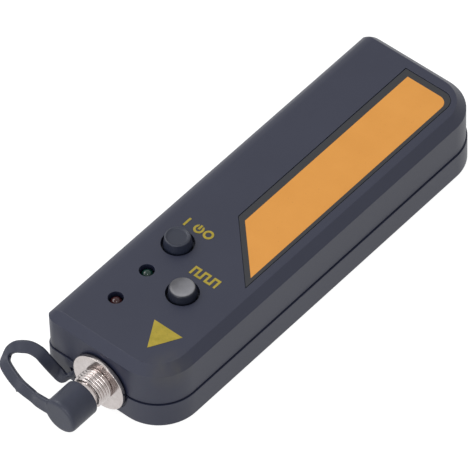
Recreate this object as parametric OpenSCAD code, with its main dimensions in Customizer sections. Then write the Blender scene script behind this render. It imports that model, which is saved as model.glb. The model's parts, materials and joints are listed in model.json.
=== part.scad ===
// Pocket visual fault locator: a two-shell plastic case with two push buttons,
// two indicator lamps, a laser module behind a threaded fibre port with a
// tethered rubber cap, and two cells behind a sliding door on the underside.
// X runs across the case, Y from the port to the back, Z up from the underside.

/* [Case] */
// Width of the case
case_w = 34; // [32:0.5:40]
// Height of the case
case_h = 18; // [17.6:0.1:19.5]
// Height of the line where the two shells meet
joint_z = 7.2; // [7.1:0.1:7.6]
// Wall thickness of both shells
wall = 1.8; // [1.6:0.1:2]
// Flat chamfer along the right, front and back top edges
top_chamfer = 2.1; // [1.5:0.1:2.4]
// Roundover along the left top edge
left_round = 4; // [3.6:0.1:5]
// Plan radius of the two right-hand corners
right_r = 10; // [8:0.5:11]
// Plan radius of the left front corner
left_front_r = 3; // [2.6:0.1:4]
// Plan radius of the left back corner
left_back_r = 3.5; // [2.6:0.1:4]
// Small bevel round the underside
bottom_bevel = 0.4; // [0.3:0.1:1]
// How far the lower shell stands out beyond the upper one, all round
lower_step = 0.3; // [0.2:0.05:0.4]
// Width and depth of the groove along the joint line
joint_groove = 0.3; // [0.2:0.05:0.5]
// Height of the tongue that locates the two shells
tongue_h = 1; // [0.6:0.1:1.5]
// Thickness of the tongue
tongue_t = 0.8; // [0.6:0.1:0.9]

/* [Buttons and lamps] */
// Distance between neighbouring buttons and lamps
control_pitch = 10.16; // [9.5:0.02:11]
// Distance of the power button from the front face
power_from_front = 32.8; // [32:0.1:35]
// Offset of the left column from the middle of the case
left_column_x = -7; // [-8:0.1:-6.5]
// Diameter of the button holes
button_hole_d = 7.5; // [7:0.1:8]
// Diameter of a button at the case surface
button_d = 6.4; // [6:0.1:6.6]
// Diameter of a button at its top
button_top_d = 5.8; // [5:0.1:5.9]
// Height of the buttons above the case
button_proud = 2.2; // [1.5:0.1:3]
// Travel of the buttons
button_travel = 1; // [0.5:0.1:1.1]
// Diameter of the lamp holes
lamp_hole_d = 3.5; // [3.3:0.1:4]
// Diameter of the lamps
lamp_d = 3; // [2.8:0.1:3.1]
// Depth of a lamp below the case surface
lamp_recess = 0.4; // [0.2:0.1:1]

/* [Label] */
// Left edge of the label, from the middle of the case
label_left = -2; // [-2.5:0.1:-1.8]
// Distance of the label's right edge from the side of the case
label_right_margin = 4.2; // [3.5:0.1:4.5]
// Front corner of the label on its long side, from the front face
label_front = 32.2; // [31:0.1:34]
// Distance of the label's back edge from the back of the case
label_back_margin = 4.4; // [3.9:0.1:8]
// Depth of the recess that takes the label
label_depth = 0.3; // [0.2:0.05:0.5]
// Plan radius of the back right corner of the label
label_r = 3.5; // [3:0.1:4]
// Black border left of the orange field
border_left = 2; // [1.5:0.1:2.5]
// Black border right of the orange field
border_right = 1.05; // [0.8:0.05:1.5]
// Black border behind the orange field
border_back = 1.8; // [1.2:0.1:2.5]
// Distance along Y from the label's slanted edge to the field's
border_front = 1.95; // [1.5:0.05:3]

/* [Fibre port] */
// Offset of the port from the middle of the case
port_x = -0.4; // [-0.6:0.1:0.6]
// Diameter of the port's thread
port_d = 8; // [7.6:0.1:8.2]
// Pitch of the port's thread
thread_pitch = 0.75; // [0.7:0.05:1]
// Depth of the port's thread
thread_depth = 0.42; // [0.3:0.02:0.5]
// Length of the port's thread in front of the flange
thread_l = 3.7; // [3:0.1:4]
// Diameter of the port's flange
flange_d = 14.2; // [13.5:0.1:14.3]
// Thickness of the port's flange
flange_t = 0.9; // [0.7:0.1:1.2]
// Diameter of the smooth nose in front of the thread
nose_d = 6; // [5.6:0.1:6.2]
// Length of the nose
nose_l = 7.4; // [6.5:0.1:8]
// Bore of the ceramic sleeve, which takes a plug's ferrule
ferrule_d = 2.5; // [2.4:0.05:2.6]
// Outside diameter of the ceramic sleeve
sleeve_d = 3.2; // [3.1:0.1:3.4]

/* [Dust cap and strap] */
// Outside diameter of the dust cap
cap_d = 8.65; // [8.4:0.05:9]
// Thickness of the closed end of the dust cap
cap_end_t = 1.2; // [1:0.1:1.6]
// Gap between the end of the thread and the cap's mouth
cap_gap = 1.3; // [0.6:0.1:1.5]
// Rounding of the cap's closed end
cap_round = 1; // [0.5:0.1:1.1]
// Width of the strap
strap_w = 2.9; // [2.4:0.1:3.2]
// Thickness of the strap
strap_t = 1.2; // [1:0.05:1.35]
// How far the strap leans back halfway along it, in degrees
strap_lean = 55; // [0:1:60]
// Thickness of the ring that holds the strap behind the flange
ring_t = 0.5; // [0.5:0.1:0.8]

/* [Laser module] */
// Diameter of the brass barrel
barrel_d = 9.8; // [9.4:0.1:9.9]
// Length of the brass barrel
barrel_l = 13.7; // [13.4:0.1:13.9]
// Bore of the barrel
barrel_bore_d = 6; // [5.9:0.1:6.4]
// Diameter of the laser diode's base
diode_d = 5.6; // [5.4:0.1:5.8]

/* [Circuit board] */
// Thickness of the circuit board
board_t = 1; // [0.8:0.1:1.1]
// Distance of the board's lower face from the top of the case
board_depth = 8.2; // [8.1:0.1:8.3]
// Gap between the board and the side walls
board_side_gap = 0.7; // [0.4:0.1:1.2]
// Distance of the board's front edge from the front face
board_front = 10.2; // [10:0.1:10.8]
// Distance between the board and the battery bay
board_bay_gap = 7; // [6.8:0.1:7.2]
// Side of the square switch bodies
switch_side = 6; // [5.5:0.1:6.2]

/* [Battery bay] */
// Diameter of a cell
cell_d = 10.5; // [10:0.1:10.5]
// Length of a cell without its contact
cell_l = 44.5; // [43.5:0.1:44.7]
// Distance between the axes of the two cells
cell_pitch = 11.2; // [10.8:0.1:11.2]
// Distance of the bay's front wall from the front face
bay_front = 55.2; // [54:0.2:66]
// Thickness of the case behind the bay
bay_back_t = 3.2; // [2.4:0.1:5]
// Width of the battery door without its tongues
door_w = 22; // [21.8:0.1:22.2]
// Thickness of the battery door
door_t = 1.6; // [1.4:0.1:1.6]
// Reach of the door's tongues into their grooves
door_tongue = 0.9; // [0.7:0.1:1]

/* [Hidden] */
$fn = 64;
// Overrun of a cut past the face it leaves
over = 0.5;
// Clearance between pieces of one body that only need to go together
fit = 0.05;
// Clearance round a piece that slides
slide_gap = 0.15;
// Clearance round a soft or loose piece
loose_gap = 0.3;

// Battery contacts, whose springs set the length of the bay and of the case
contact_t = 0.4;
nub_l = 1;
nub_d = 5.5;
spring_d = 6.5;
spring_l = 3.8;
// Outline of one spring turn, as shares of its step
coil_shares = [[0, 0], [-0.6, 0.3], [0, 0.6], [1.4, 0.8]];
bay_back = bay_front + 2 * contact_t + cell_l + nub_l + spring_l;
case_l = bay_back + bay_back_t;

half_w = case_w / 2;
half_l = case_l / 2;
roof_z = case_h - wall;
// Each plan corner: side in X, side in Y, radius
corners = [[-1, -1, left_front_r], [1, -1, right_r], [1, 1, right_r], [-1, 1, left_back_r]];

// Places of the controls, with Y measured back from the front face
lamp_from_front = power_from_front - control_pitch;
red_from_front = lamp_from_front - control_pitch;
mode_x = left_column_x + control_pitch;

// Port and cap, with Y measured back from the front face
flange_face = -ring_t - flange_t;
thread_end = flange_face - thread_l;
nose_end = thread_end - nose_l;
cap_mouth = thread_end - cap_gap;
cap_floor = nose_end - loose_gap;
cap_end = cap_floor - cap_end_t;
cap_bore_d = nose_d + 2 * fit;
nut_flats = 10;
nut_t = 2.4;
barrel_socket_l = 3;
neck_end = wall + nut_t + barrel_socket_l;
sleeve_l = 11;
mouth_l = 0.6;
beam_bore_d = 1.9;
barrel_front = wall + nut_t + slide_gap;
barrel_back = barrel_front + barrel_l;
tab_angle = 207;
tab_reach = 8;

// Laser module
lens_t = 2;
retainer_t = 1.2;
diode_base_t = 1.2;
diode_can_d = 3.6;
diode_can_l = 2.3;
diode_back = barrel_back - retainer_t;
retainer_front = diode_back - diode_base_t - diode_can_l - loose_gap - retainer_t;
lens_front = retainer_front - fit - lens_t;

// Board and switches
board_z = case_h - board_depth;
board_top = board_z + board_t;
board_w = case_w - 2 * (wall + board_side_gap);
board_back = bay_front - board_bay_gap;
button_flange_t = 0.85;
button_lip = 0.65;
button_flange_d = button_hole_d + 2 * button_lip;
power_edge = 0.35;
power_dish = 0.25;
mode_edge = 0.5;
mode_crown = 0.15;
button_seat = roof_z - slide_gap;
button_base = button_seat - button_flange_t;
switch_top = button_base - button_travel - 2 * fit;
plunger_d = 3.4;
plunger_bottom = board_top + button_travel + 3 * slide_gap;
notch_half = barrel_d / 2 + loose_gap;
notch_back = barrel_back + 2 * loose_gap;
board_screw_inset = 2.5;
board_screw_x = board_w / 2 - board_screw_inset;
board_screw_front = 17;
board_screw_ys = [board_screw_front, board_back - board_screw_inset - 2 * loose_gap];
board_screw_d = 1.8;
board_screw_head_d = 3.4;
board_screw_head_t = 1.2;
board_screw_l = 4.5;
board_boss_d = 3.9;
chip_size = [5, 4, 1.5];
// Distances from the board's right and back edges
chip_place = [8.5, 10.2];
trimmer_place = [5.5, 17.7];
trimmer_d = 3.2;
trimmer_t = 1.3;

// Case screws: how far they stand from the sides, the front face and the battery bay
screw_left = 4.8;
screw_right = 6.6;
screw_back_side = 4.6;
screw_front = 6.4;
screw_bay = 4.2;
case_screw_places = [[-half_w + screw_left, screw_front], [half_w - screw_right, screw_front + 2 * loose_gap],
                     [-half_w + screw_back_side, bay_front - screw_bay],
                     [half_w - screw_back_side, bay_front - screw_bay]];
case_screw_d = 2.2;
case_screw_head_d = 4;
case_screw_head_t = 1.5;
case_screw_seat = 2.6;
case_screw_l = 9.5;
case_boss_d = 5;

// Battery bay, with Y measured back from the front face
partition_t = 1.6;
bay_half = door_w / 2 + slide_gap;
door_z = 0.2;
door_top = door_z + door_t;
cell_z = door_top + loose_gap + cell_d / 2;
rail_w = 2.2;
rail_h = 3;
groove_z = door_z + door_t / 2;
bay_wall_t = 1.2;
bay_wall_h = 9;
grip_count = 5;
grip_w = 0.8;
grip_pitch = 2;
grip_l = 12;
grip_depth = 0.4;

// Label, measured like the case
label_right = half_w - label_right_margin;
label_back = case_l - label_back_margin;

// Printing on the case
ink_t = 0.05;
ink_w = 0.55;
mark_h = 2.5;
mark_l = 7.3;
mark_dx = 0.9;
mark_dy = 5.9;
triangle_side = 8;
triangle_x = 7.55;
triangle_base = 13.05;

// The strap's route: X, distance from the front face, Z
strap_route = [[-7.7, -0.7, 3.5], [-8.2, -0.8, 3.2], [-8.8, -1.3, 2.6], [-9.8, -2.2, 2.3],
               [-11.4, -2.5, 3.6], [-12.4, -3.2, 5.6], [-13.6, -3.7, 7.4], [-14.9, -4.1, 8.9],
               [-17, -4.8, 9.6], [-19.4, -6, 9.2], [-20.9, -6.7, 7.4], [-21.2, -7.5, 6.3],
               [-20.3, -9.2, 6], [-17.7, -10.5, 6], [-14.4, -11.7, 6.2], [-11.9, -12.5, 6.8],
               [-8.9, -12.8, 6.8], [-6.8, -13.3, 7], [-5.1, -13.4, 7.1]];
strap_steps = 3;

// Moves to a place whose Y is measured back from the front face
module from_front(x, y, z = 0) {
    translate([x, y - half_l, z]) children();
}

// Lies along the port's axis, with Z of the child pointing back from the front face
module on_port_axis(y = 0) {
    from_front(port_x, y, joint_z) rotate([-90, 0, 0]) children();
}

// Block between two corners given as X, Y from the front face, Z
module block(lo, hi) {
    from_front(lo[0], lo[1], lo[2]) cube([hi[0] - lo[0], hi[1] - lo[1], hi[2] - lo[2]]);
}

// Half slab from the middle of the case to one side, narrowed by cut at its top.
// reach is the distance to that side, and from and to bound it along the side.
module side_slab(reach, from, to, z0, z1, cut) {
    translate([0, to, 0]) rotate([90, 0, 0]) linear_extrude(to - from)
        polygon([[0, z0], [reach, z0], [reach - cut, z1], [0, z1]]);
}

// Block with the case's plan, inset all round, that narrows by cut from z0 to z1
module plan_taper(inset, z0, z1, cut) {
    hw = half_w - inset;
    hl = half_l - inset;
    rr = right_r - inset;
    rf = left_front_r - inset;
    rb = left_back_r - inset;
    side_slab(hw, -hl + rr, hl - rr, z0, z1, cut);
    rotate(180) side_slab(hw, -hl + rb, hl - rf, z0, z1, cut);
    rotate(90) side_slab(hl, -hw + rr, hw - rb, z0, z1, cut);
    rotate(-90) side_slab(hl, -hw + rf, hw - rr, z0, z1, cut);
    for (c = corners) {
        r = c[2] - inset;
        translate([c[0] * (hw - r), c[1] * (hl - r), z0]) cylinder(r1 = r, r2 = r - cut, h = z1 - z0);
    }
}

// Straight block with the case's plan, inset all round
module plan_block(inset, z0, z1) {
    plan_taper(inset, z0, z1, 0);
}

// Cross-section limit that gives the left top edge its roundover
module left_limit() {
    flat_w = case_w - left_round;
    translate([0, half_l + over, 0]) rotate([90, 0, 0]) linear_extrude(case_l + 2 * over) {
        translate([-half_w, -over]) square([case_w + over, case_h - left_round + over]);
        translate([half_w - flat_w, -over]) square([flat_w + over, case_h + over]);
        translate([half_w - flat_w, case_h - left_round]) circle(left_round);
    }
}

// Rounded-plan form, inset all round, with its top edges cut at 45 degrees.
// widen moves its sides back out.
module edged_form(inset, widen = 0) {
    cut = top_chamfer - inset * (2 - sqrt(2));
    top = case_h - inset;
    low = inset + bottom_bevel;
    plan_block(inset - widen, low, top - cut);
    plan_taper(inset - widen, top - cut, top, cut);
    mirror([0, 0, 1]) plan_taper(inset - widen, -low, -inset, bottom_bevel);
}

// Slab that keeps what lies between two heights
module between(z0, z1) {
    translate([-case_w, -case_l, z0]) cube([2 * case_w, 2 * case_l, z1 - z0]);
}

module hex(flats, h) {
    intersection_for (a = [0, 60, 120])
        rotate(a) translate([-flats / 2, -flats, 0]) cube([flats, 2 * flats, h]);
}

module label_plan(left, right, front, back, r) {
    depth = right - left;
    from_front(0, 0) {
        polygon([[left, front + depth], [right, front], [right, back - r], [right - r, back], [left, back]]);
        translate([right - r, back - r]) circle(r);
    }
}

module board_boss_places() {
    for (x = [-board_screw_x, board_screw_x], y = board_screw_ys) from_front(x, y) children();
}

module case_screw_places() {
    for (p = case_screw_places) from_front(p[0], p[1]) children();
}

module top_shell() {
    color("#34373d") difference() {
        intersection() {
            edged_form(0);
            left_limit();
            between(joint_z, case_h + over);
        }
        difference() {
            edged_form(wall);
            top_shell_inside();
        }
        // Rebate over the lower shell's tongue
        plan_block(wall - tongue_t - slide_gap, joint_z - over, joint_z + tongue_h + slide_gap);
        // Neck of the port
        on_port_axis(-over) cylinder(d = port_d + 4 * fit, h = wall + 2 * over);
        translate([0, 0, case_h - label_depth]) linear_extrude(label_depth + over)
            label_plan(label_left, label_right, label_front, label_back, label_r);
        for (p = [[left_column_x, power_from_front], [mode_x, lamp_from_front]])
            from_front(p[0], p[1], roof_z - over) cylinder(d = button_hole_d, h = wall + 2 * over);
        for (y = [lamp_from_front, red_from_front])
            from_front(left_column_x, y, roof_z - over) cylinder(d = lamp_hole_d, h = wall + 2 * over);
        board_boss_places() translate([0, 0, board_z])
            cylinder(d = board_screw_d + 2 * fit, h = board_screw_l + fit);
        case_screw_places() cylinder(d = case_screw_d + 2 * fit, h = case_screw_seat + case_screw_l + fit);
    }
}

// Bosses and ribs under the roof
module top_shell_inside() {
    board_boss_places() translate([0, 0, board_top]) cylinder(d = board_boss_d, h = case_h - board_top);
    case_screw_places() translate([0, 0, joint_z + tongue_h + slide_gap])
        cylinder(d = case_boss_d, h = case_h - joint_z);
    for (y = [bay_front + cell_l / 3, bay_front + cell_l * 2 / 3 + spring_l])
        block([-cell_pitch, y, cell_z + cell_d / 2 + loose_gap], [cell_pitch, y + bay_wall_t, case_h]);
}

module bottom_shell() {
    color("#2f3238") difference() {
        union() {
            difference() {
                intersection() {
                    edged_form(0, lower_step);
                    between(-over, joint_z);
                }
                difference() {
                    plan_block(wall, wall, case_h);
                    bottom_shell_inside();
                }
                // Groove along the joint line
                difference() {
                    plan_block(-over, joint_z - joint_groove, joint_z + over);
                    plan_block(joint_groove, joint_z - 2 * joint_groove, joint_z + 2 * over);
                }
            }
            tongue();
            intersection() {
                plan_block(wall + fit, wall - fit, case_h);
                bottom_shell_tall();
            }
        }
        on_port_axis(-over) cylinder(d = port_d + 4 * fit, h = wall + 2 * over);
        port_seat();
        case_screw_places() {
            translate([0, 0, -over])
                cylinder(d = case_screw_head_d + 4 * slide_gap, h = case_screw_seat + over);
            cylinder(d = case_screw_d + 4 * fit, h = case_h);
        }
        door_opening();
    }
}

// Flat seat in the lower shell's front for the port's flange, the ring and its tab
module port_seat() {
    on_port_axis(-lower_step - over) {
        cylinder(d = flange_d + 2 * loose_gap, h = lower_step + over);
        rotate(-tab_angle) translate([0, -strap_w / 2 - loose_gap, 0])
            cube([tab_reach + strap_t + loose_gap, strap_w + 2 * loose_gap, lower_step + over]);
    }
}

// Tongue that stands up inside the upper shell
module tongue() {
    difference() {
        plan_block(wall - tongue_t, joint_z - over, joint_z + tongue_h);
        plan_block(wall, joint_z - 2 * over, joint_z + tongue_h + over);
        // Room for the port's nut and the screw bosses of the upper shell
        case_screw_places() translate([0, 0, joint_z])
            cylinder(d = case_boss_d + 4 * slide_gap, h = tongue_h + over);
    }
}

// What stands inside the lower shell, up to the joint line
module bottom_shell_inside() {
    case_screw_places() cylinder(d = case_boss_d, h = joint_z + over);
    for (s = [0, 1]) mirror([s, 0, 0])
        block([bay_half, bay_front - partition_t, 0], [bay_half + rail_w, case_l, rail_h]);
    bottom_shell_tall();
}

// Partition, bay walls and rear contact block, which rise past the joint line
module bottom_shell_tall() {
    for (s = [0, 1]) mirror([s, 0, 0])
        block([bay_half, bay_front - partition_t, 0], [bay_half + bay_wall_t, case_l, bay_wall_h]);
    block([-half_w, bay_front - partition_t, 0],
          [half_w, bay_front, cell_z + cell_d / 2 - loose_gap]);
    block([-bay_half - fit, bay_back, door_top + slide_gap],
          [bay_half + fit, case_l, cell_z + cell_d / 2 - loose_gap]);
}

// Channel for the battery door, open to the back
module door_opening() {
    block([-bay_half, bay_front, -over], [bay_half, case_l + over, door_top + slide_gap]);
    block([-bay_half - door_tongue, bay_front, groove_z - slide_gap],
          [bay_half + door_tongue, case_l + over, door_top + slide_gap]);
}

module battery_door() {
    half = door_w / 2;
    color("#2c2f34") intersection() {
        difference() {
            union() {
                block([-half, bay_front + slide_gap, door_z], [half, case_l + lower_step, door_top]);
                block([-half - door_tongue, bay_front + slide_gap, groove_z],
                      [half + door_tongue, case_l + lower_step, door_top]);
            }
            for (i = [0 : grip_count - 1])
                block([-grip_l / 2, bay_front + 3 * grip_pitch + i * grip_pitch, door_z - over],
                      [grip_l / 2, bay_front + 3 * grip_pitch + i * grip_pitch + grip_w, door_z + grip_depth]);
        }
        edged_form(fit, lower_step);
    }
}

module label_film() {
    color("#1c1e21") difference() {
        translate([0, 0, case_h - label_depth]) linear_extrude(label_depth - fit)
            label_plan(label_left + slide_gap, label_right - slide_gap,
                       label_front + 2 * slide_gap, label_back - slide_gap, label_r - slide_gap);
        translate([0, 0, case_h - label_depth / 2 - fit]) linear_extrude(label_depth)
            field_plan();
    }
}

module field_plan() {
    label_plan(label_left + border_left, label_right - border_right,
               label_front + border_front + border_right,
               label_back - border_back, label_r - border_right);
}

module label_field() {
    color("#e09a4a") translate([0, 0, case_h - label_depth / 2 - fit]) linear_extrude(label_depth / 2)
        field_plan();
}

// Stroke of a printed symbol, from its left front corner
module stroke(x, y, w, h) {
    translate([x, y, 0]) cube([w, h, ink_t]);
}

// Bar, ring with a bar, and ring: the power symbols
module power_marks() {
    step = (mark_l - ink_w) / 2;
    stroke(-mark_l / 2, -mark_h / 2, ink_w, mark_h);
    difference() {
        cylinder(d = mark_h, h = ink_t);
        translate([0, 0, -over]) cylinder(d = mark_h - 2 * ink_w, h = ink_t + 2 * over);
        stroke(-ink_w, 0, 2 * ink_w, mark_h);
    }
    stroke(-ink_w / 2, -ink_w / 4, ink_w, mark_h / 2 + ink_w / 4);
    translate([step - mark_h / 4, 0, 0]) difference() {
        cylinder(d = mark_h, h = ink_t);
        translate([0, 0, -over]) cylinder(d = mark_h - 2 * ink_w, h = ink_t + 2 * over);
    }
}

// Square wave: the pulse symbol
module mode_marks() {
    step = (mark_l - ink_w) / 5;
    for (i = [0 : 5]) stroke(-mark_l / 2 + i * step, -mark_h / 2, ink_w, mark_h);
    for (i = [0 : 4])
        stroke(-mark_l / 2 + i * step, (i % 2 == 0) ? mark_h / 2 - ink_w : -mark_h / 2, step, ink_w);
}

module printed_marks() {
    color("#d8d05a") {
        from_front(left_column_x + mark_dx, power_from_front + mark_dy, case_h) power_marks();
        from_front(mode_x + mark_dx, lamp_from_front + mark_dy + ink_w, case_h) mode_marks();
        from_front(triangle_x, triangle_base, case_h) linear_extrude(ink_t)
            polygon([[-triangle_side / 2, 0], [triangle_side / 2, 0], [0, -triangle_side * sqrt(3) / 2]]);
    }
}

// Push button about its own axis; dish is how far the top sinks (or rises)
module button(edge, dish) {
    top = case_h + button_proud;
    rotate_extrude() polygon([
        [0, button_base], [button_flange_d / 2, button_base], [button_flange_d / 2, button_seat],
        [button_d / 2, button_seat], [button_d / 2, case_h], [button_top_d / 2, top - edge],
        [button_top_d / 2 - edge / 3, top - edge / 3], [button_top_d / 2 - edge, top],
        [button_top_d / 2 - 2 * edge, top - dish / 2], [button_top_d / 5, top - dish], [0, top - dish]]);
}

module power_button() {
    color("#2b2e33") from_front(left_column_x, power_from_front) button(power_edge, power_dish);
}

module mode_button() {
    color("#3a3d42") from_front(mode_x, lamp_from_front) button(mode_edge, -mode_crown);
}

module switch_body() {
    color("#202225") difference() {
        translate([-switch_side / 2, -switch_side / 2, board_top])
            cube([switch_side, switch_side, switch_top - board_top]);
        translate([0, 0, plunger_bottom - button_travel - 2 * fit])
            cylinder(d = plunger_d + 2 * slide_gap, h = case_h);
    }
}

module power_switch() {
    from_front(left_column_x, power_from_front) switch_body();
}

module mode_switch() {
    from_front(mode_x, lamp_from_front) switch_body();
}

module plunger() {
    color("#d9d6cc") translate([0, 0, plunger_bottom])
        cylinder(d = plunger_d, h = button_base - plunger_bottom);
}

module power_plunger() {
    from_front(left_column_x, power_from_front) plunger();
}

module mode_plunger() {
    from_front(mode_x, lamp_from_front) plunger();
}

// Indicator lamp: domed lens, flange and two leads
module lamp() {
    tip = case_h - lamp_recess;
    dome_z = tip - lamp_d / 2;
    base = dome_z - lamp_d;
    lead = lamp_d / 6;
    translate([0, 0, base]) cylinder(d = lamp_d, h = dome_z - base);
    translate([0, 0, dome_z]) sphere(d = lamp_d);
    translate([0, 0, base]) cylinder(d = lamp_d * 5 / 4, h = lamp_d / 3);
    for (s = [-1, 1])
        translate([s * lamp_d / 4, 0, board_z - lead]) cylinder(d = lead, h = base + 2 * lead - board_z);
}

module green_lamp() {
    color("#2f6b4a") from_front(left_column_x, lamp_from_front) lamp();
}

module red_lamp() {
    color("#6b2f2c") from_front(left_column_x, red_from_front) lamp();
}

module circuit_board() {
    color("#1f5a38") difference() {
        block([-board_w / 2, board_front, board_z], [board_w / 2, board_back, board_top]);
        block([port_x - notch_half, board_front - over, board_z - over],
              [port_x + notch_half, notch_back, board_top + over]);
        board_boss_places() cylinder(d = board_screw_d + 4 * fit, h = case_h);
        for (y = [lamp_from_front, red_from_front], s = [-1, 1])
            from_front(left_column_x + s * lamp_d / 4, y) cylinder(d = lamp_d / 6 + 2 * fit, h = case_h);
    }
}

module driver_chip() {
    color("#18191b") from_front(board_w / 2 - chip_place[0], board_back - chip_place[1], board_top)
        translate([-chip_size[0] / 2, -chip_size[1] / 2, 0]) cube(chip_size);
}

module trimmer() {
    slot = trimmer_d / 6;
    color("#c9ccd0") from_front(board_w / 2 - trimmer_place[0], board_back - trimmer_place[1], board_top)
        difference() {
            cylinder(d = trimmer_d, h = trimmer_t);
            translate([-trimmer_d, -slot / 2, trimmer_t - slot]) cube([2 * trimmer_d, slot, 2 * slot]);
        }
}

// Screw that points up, with its head's seat at zero and a cross slot below
module screw(d, l, head_d, head_t) {
    slot = head_d / 8;
    difference() {
        union() {
            cylinder(d = d, h = l);
            translate([0, 0, -head_t]) cylinder(d = head_d, h = head_t);
        }
        for (a = [0, 90]) rotate(a)
            translate([-head_d / 3, -slot / 2, -head_t - over])
                cube([head_d * 2 / 3, slot, over + head_t / 2]);
    }
}

module board_screws() {
    color("#b9bcc0") board_boss_places() translate([0, 0, board_z])
        screw(board_screw_d, board_screw_l, board_screw_head_d, board_screw_head_t);
}

module case_screws() {
    color("#8d9094") case_screw_places() translate([0, 0, case_screw_seat])
        screw(case_screw_d, case_screw_l, case_screw_head_d, case_screw_head_t);
}

// The port turned about its axis: neck, flange, thread and nose
module port() {
    r = port_d / 2;
    root = r - thread_depth;
    crest = thread_pitch / 4;
    bevel = flange_t / 3;
    turns = floor((thread_l - thread_pitch / 2) / thread_pitch);
    first = flange_face - thread_pitch / 2;
    color("#cfcbc4") on_port_axis() difference() {
        rotate_extrude() polygon(concat(
            [[0, neck_end], [r, neck_end], [r, -ring_t],
             [flange_d / 2, -ring_t], [flange_d / 2, flange_face + bevel],
             [flange_d / 2 - bevel, flange_face], [root, flange_face]],
            [for (i = [0 : turns - 1], p = [[0, 0], [1, crest], [1, 2 * crest], [0, 3 * crest]])
                [root + p[0] * thread_depth, first - i * thread_pitch - p[1]]],
            [[root, thread_end], [nose_d / 2, thread_end], [nose_d / 2, nose_end + bevel],
             [nose_d / 2 - bevel, nose_end], [0, nose_end]]));
        translate([0, 0, nose_end - over]) cylinder(d = ferrule_d + 4 * fit, h = mouth_l + 2 * over);
        translate([0, 0, nose_end + mouth_l]) cylinder(d = sleeve_d + 2 * fit, h = sleeve_l + 2 * fit);
        translate([0, 0, nose_end + mouth_l]) cylinder(d = beam_bore_d, h = case_l);
    }
}

module ceramic_sleeve() {
    slot = ferrule_d / 6;
    color("#efece4") on_port_axis(nose_end + mouth_l + fit) difference() {
        cylinder(d = sleeve_d, h = sleeve_l);
        translate([0, 0, -over]) cylinder(d = ferrule_d, h = sleeve_l + 2 * over);
        translate([-slot / 2, 0, -over]) cube([slot, sleeve_d, sleeve_l + 2 * over]);
    }
}

module port_nut() {
    color("#c2beb6") on_port_axis(wall) difference() {
        rotate(90) hex(nut_flats, nut_t);
        translate([0, 0, -over]) cylinder(d = port_d + 2 * fit, h = nut_t + 2 * over);
    }
}

// Ring behind the flange, with the tab that carries the strap
module strap_ring() {
    ring_d = flange_d - 4 * loose_gap;
    lip = flange_d / 2 + fit;
    color("#232528") on_port_axis() difference() {
        union() {
            translate([0, 0, -ring_t]) cylinder(d = ring_d, h = ring_t);
            rotate(-tab_angle) translate([0, -strap_w / 2, -ring_t]) cube([tab_reach, strap_w, ring_t]);
            rotate(-tab_angle) translate([lip, -strap_w / 2, -strap_t])
                cube([tab_reach - lip, strap_w, strap_t]);
        }
        translate([0, 0, -over - ring_t]) cylinder(d = port_d + 4 * fit, h = ring_t + 2 * over);
    }
}

// Smooth route: strap_steps points to a span, through the chosen points
function route_at(i) = strap_route[max(0, min(len(strap_route) - 1, i))];
function curve(p0, p1, p2, p3, t) =
    ((2 * p1) + (p2 - p0) * t + (2 * p0 - 5 * p1 + 4 * p2 - p3) * t * t
     + (3 * p1 - p0 - 3 * p2 + p3) * t * t * t) / 2;
function strap_line() = concat(
    [for (i = [0 : len(strap_route) - 2], k = [0 : strap_steps - 1])
        curve(route_at(i - 1), route_at(i), route_at(i + 1), route_at(i + 2), k / strap_steps)],
    [route_at(len(strap_route) - 1)]);
function unit(v) = v / norm(v);

// Strap: a flat band with eased edges, swept along its route. Its width is upright at
// both ends and leans back in between.
module cap_strap() {
    line = strap_line();
    last = len(line) - 1;
    a = strap_w / 2;
    b = strap_t / 2;
    e = strap_t / 4;
    section = [[a, -b + e], [a, b - e], [a - e, b], [-a + e, b],
               [-a, b - e], [-a, -b + e], [-a + e, -b], [a - e, -b]];
    sides = len(section);
    rings = [for (i = [0 : last])
        let (d = unit(line[min(last, i + 1)] - line[max(0, i - 1)]),
             a = strap_lean * sin(180 * i / last),
             lean = [0, sin(a), cos(a)],
             up = unit(lean - (lean * d) * d),
             out = cross(d, up))
        for (q = section) line[i] + q[0] * up + q[1] * out];
    walls = [for (i = [0 : last - 1], j = [0 : sides - 1])
        let (n = (j + 1) % sides)
        for (f = [[i * sides + j, i * sides + n, (i + 1) * sides + j],
                  [i * sides + n, (i + 1) * sides + n, (i + 1) * sides + j]]) f];
    caps = [for (j = [1 : sides - 2])
        for (f = [[0, j + 1, j], [last * sides, last * sides + j, last * sides + j + 1]]) f];
    color("#232528") from_front(0, 0) polyhedron(points = rings, faces = concat(walls, caps));
}

// Dust cap turned about the port's axis, with the tab that joins the strap
module dust_cap() {
    r = cap_d / 2;
    lip = loose_gap;
    tab_x = strap_route[len(strap_route) - 1][0] + 2 * fit;
    color("#232528") difference() {
        union() {
            on_port_axis() rotate_extrude() {
                polygon([[0, cap_end], [r - cap_round, cap_end], [r - cap_round, cap_end + cap_round],
                         [r, cap_end + cap_round], [r, cap_mouth - lip], [r - lip, cap_mouth], [0, cap_mouth]]);
                intersection() {
                    translate([r - cap_round, cap_end + cap_round]) circle(cap_round);
                    translate([0, cap_end]) square([r, cap_round]);
                }
            }
            block([tab_x, cap_end, joint_z - strap_w / 2],
                  [port_x, cap_end + strap_t, joint_z + strap_w / 2]);
        }
        on_port_axis(cap_floor) cylinder(d = cap_bore_d, h = case_l);
    }
}

module laser_barrel() {
    color("#b8964a") on_port_axis(barrel_front) difference() {
        cylinder(d = barrel_d, h = barrel_l);
        translate([0, 0, -over]) cylinder(d = port_d + 2 * fit, h = neck_end - barrel_front + fit + over);
        translate([0, 0, -over]) cylinder(d = barrel_bore_d, h = barrel_l + 2 * over);
    }
}

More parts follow.
